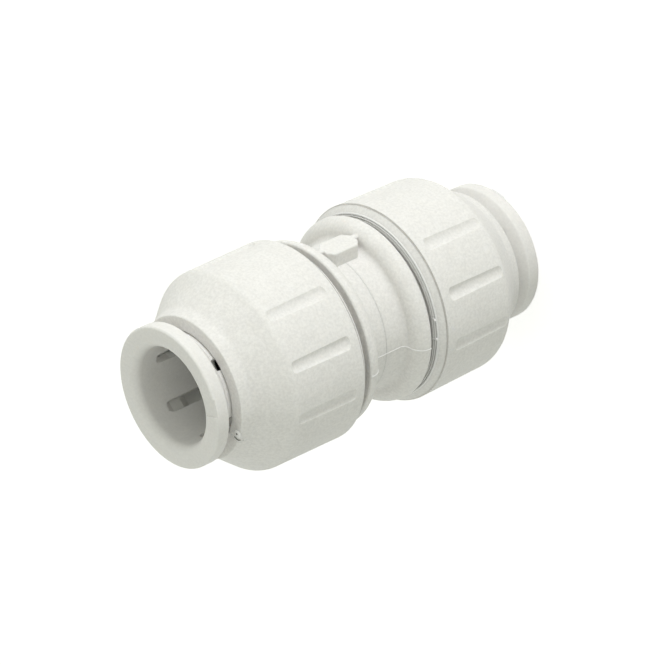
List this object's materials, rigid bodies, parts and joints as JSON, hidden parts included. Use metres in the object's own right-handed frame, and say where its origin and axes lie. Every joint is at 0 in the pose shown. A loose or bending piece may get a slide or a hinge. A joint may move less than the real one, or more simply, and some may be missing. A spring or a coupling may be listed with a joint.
{
  "type": "straight push-fit connector",
  "caption": "Straight push-fit pipe connector: moulded body with two fluted screw caps and two slotted collets with steel teeth, seal rings and spacers.",
  "frame": {"origin": "middle of the lower grip's face, on the axis of the bore", "axes": "+Z along the bore, from end b (standing on its grip) to end a, which faces the picture's camera; +Y through the small pad on the waist"},
  "size_m": [0.0318, 0.0318, 0.0654],
  "materials": {
    "body_plastic": "moulded off-white polyethylene, satin",
    "cap_plastic": "moulded off-white polyethylene, satin",
    "collet_plastic": "moulded white acetal, satin",
    "spacer_plastic": "moulded white acetal, smooth",
    "seal_rubber": "black EPDM, smooth",
    "tooth_steel": "stainless strip"
  },
  "bodies": {
    "fitting": {"body": "body_plastic", "o_ring_a": "seal_rubber", "o_ring_b": "seal_rubber"},
    "spacer_a": {"spacer_a": "spacer_plastic"},
    "cap_a": {"cap_a": "cap_plastic"},
    "grip_a": {"collet_a": "collet_plastic", "tooth_a_1": "tooth_steel", "tooth_a_2": "tooth_steel", "tooth_a_3": "tooth_steel", "tooth_a_4": "tooth_steel", "tooth_a_5": "tooth_steel", "tooth_a_6": "tooth_steel"},
    "spacer_b": {"spacer_b": "spacer_plastic"},
    "cap_b": {"cap_b": "cap_plastic"},
    "grip_b": {"collet_b": "collet_plastic", "tooth_b_1": "tooth_steel", "tooth_b_2": "tooth_steel", "tooth_b_3": "tooth_steel", "tooth_b_4": "tooth_steel", "tooth_b_5": "tooth_steel", "tooth_b_6": "tooth_steel"}
  },
  "joints": [
    {"name": "thread_travel_a", "type": "slide", "parent": "fitting", "child": "spacer_a", "axis": [0, 0, -1], "range_m": [0, 0.00085]},
    {"name": "cap_twist_a", "type": "hinge", "parent": "spacer_a", "child": "cap_a", "pos_m": [0, 0, 0.0467], "axis": [0, 0, -1], "range_deg": [0, 90]},
    {"name": "grip_slide_a", "type": "slide", "parent": "spacer_a", "child": "grip_a", "axis": [0, 0, 1], "range_m": [0, 0.002]},
    {"name": "thread_travel_b", "type": "slide", "parent": "fitting", "child": "spacer_b", "axis": [0, 0, 1], "range_m": [0, 0.00085]},
    {"name": "cap_twist_b", "type": "hinge", "parent": "spacer_b", "child": "cap_b", "pos_m": [0, 0, 0.0187], "axis": [0, 0, 1], "range_deg": [0, 90]},
    {"name": "grip_slide_b", "type": "slide", "parent": "spacer_b", "child": "grip_b", "axis": [0, 0, -1], "range_m": [0, 0.002]}
  ],
  "couplings": [
    {"joint": "thread_travel_a", "follows": "cap_twist_a", "m_per_rad": 0.00054107},
    {"joint": "thread_travel_b", "follows": "cap_twist_b", "m_per_rad": 0.00054107}
  ]
}
